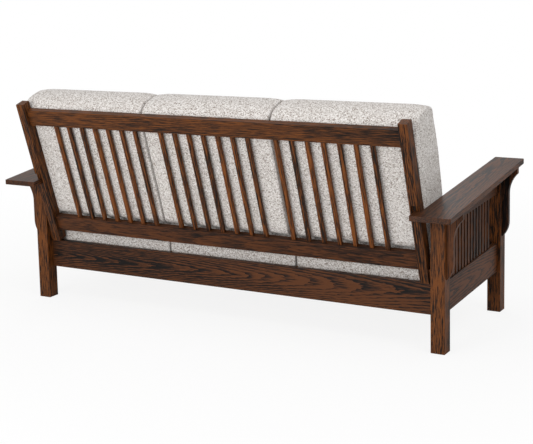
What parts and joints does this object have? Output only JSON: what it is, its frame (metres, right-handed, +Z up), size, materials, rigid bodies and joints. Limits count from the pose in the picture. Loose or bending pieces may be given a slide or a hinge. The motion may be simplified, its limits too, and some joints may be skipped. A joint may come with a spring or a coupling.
{
  "type": "sofa",
  "caption": "Mission style slatted oak sofa with sloping arms on corbels, a leaning slatted back and loose seat and back cushions.",
  "frame": {"origin": "on the floor, under the middle of the sofa's overall length and depth", "axes": "+X along the sofa towards the sitter's left, +Y towards the rear, +Z up; the seat faces -Y"},
  "size_m": [2.08, 0.9056, 0.9385],
  "materials": {
    "oak_posts": "dark stained oak, satin",
    "oak_aprons": "dark stained oak, satin",
    "oak_side_rails": "dark stained oak, satin",
    "oak_arms": "dark stained oak, satin",
    "oak_back_uprights": "dark stained oak, satin",
    "oak_back_rails": "dark stained oak, satin",
    "oak_inside": "plain oak, lightly stained",
    "dowel_wood": "plain beech",
    "screw_steel": "zinc plated",
    "fabric": "light warm grey flecked tweed"
  },
  "bodies": {
    "frame": {"arm_dowels": "dowel_wood", "arm_left": "oak_arms", "arm_right": "oak_arms", "back_dowels": "dowel_wood", "back_slat_01": "oak_back_uprights", "back_slat_02": "oak_back_uprights", "back_slat_03": "oak_back_uprights", "back_slat_04": "oak_back_uprights", "back_slat_05": "oak_back_uprights", "back_slat_06": "oak_back_uprights", "back_slat_07": "oak_back_uprights", "back_slat_08": "oak_back_uprights", "back_slat_09": "oak_back_uprights", "back_slat_10": "oak_back_uprights", "back_slat_11": "oak_back_uprights", "back_slat_12": "oak_back_uprights", "back_slat_13": "oak_back_uprights", "back_slat_14": "oak_back_uprights", "back_slat_15": "oak_back_uprights", "back_slat_16": "oak_back_uprights", "back_slat_17": "oak_back_uprights", "back_slat_18": "oak_back_uprights", "back_slat_19": "oak_back_uprights", "back_slat_20": "oak_back_uprights", "back_slat_21": "oak_back_uprights", "back_stile_left": "oak_back_uprights", "back_stile_right": "oak_back_uprights", "centre_stretcher": "oak_inside", "cleat_screws": "screw_steel", "corbel_front_left": "oak_posts", "corbel_front_right": "oak_posts", "corbel_rear_left": "oak_posts", "corbel_rear_right": "oak_posts", "deck_screws": "screw_steel", "deck_slats": "oak_inside", "front_apron": "oak_aprons", "front_cleats": "oak_inside", "leg_front_left": "oak_posts", "leg_front_right": "oak_posts", "leg_rear_left": "oak_posts", "leg_rear_right": "oak_posts", "lower_back_rail": "oak_back_rails", "rear_apron": "oak_aprons", "rear_cleats": "oak_inside", "side_rail_left": "oak_side_rails", "side_rail_right": "oak_side_rails", "side_slats_left": "oak_posts", "side_slats_right": "oak_posts", "stile_spacer_left": "oak_inside", "stile_spacer_right": "oak_inside", "top_back_rail": "oak_back_rails", "upper_side_rail_left": "oak_side_rails", "upper_side_rail_right": "oak_side_rails"},
    "back_cushion_left": {"back_cushion_left": "fabric"},
    "back_cushion_middle": {"back_cushion_middle": "fabric"},
    "back_cushion_right": {"back_cushion_right": "fabric"},
    "seat_cushion_left": {"seat_cushion_left": "fabric"},
    "seat_cushion_middle": {"seat_cushion_middle": "fabric"},
    "seat_cushion_right": {"seat_cushion_right": "fabric"}
  },
  "joints": [
    {"name": "back_cushion_left_pull", "type": "slide", "parent": "frame", "child": "back_cushion_left", "axis": [0, 0.309, 0.9511], "range_m": [0, 0.3]},
    {"name": "back_cushion_middle_pull", "type": "slide", "parent": "frame", "child": "back_cushion_middle", "axis": [0, 0.309, 0.9511], "range_m": [0, 0.3]},
    {"name": "back_cushion_right_pull", "type": "slide", "parent": "frame", "child": "back_cushion_right", "axis": [0, 0.309, 0.9511], "range_m": [0, 0.3]},
    {"name": "seat_cushion_left_pull", "type": "slide", "parent": "frame", "child": "seat_cushion_left", "axis": [0, -0.999, 0.0452], "range_m": [0, 0.35]},
    {"name": "seat_cushion_middle_pull", "type": "slide", "parent": "frame", "child": "seat_cushion_middle", "axis": [0, -0.999, 0.0452], "range_m": [0, 0.35]},
    {"name": "seat_cushion_right_pull", "type": "slide", "parent": "frame", "child": "seat_cushion_right", "axis": [0, -0.999, 0.0452], "range_m": [0, 0.35]}
  ]
}
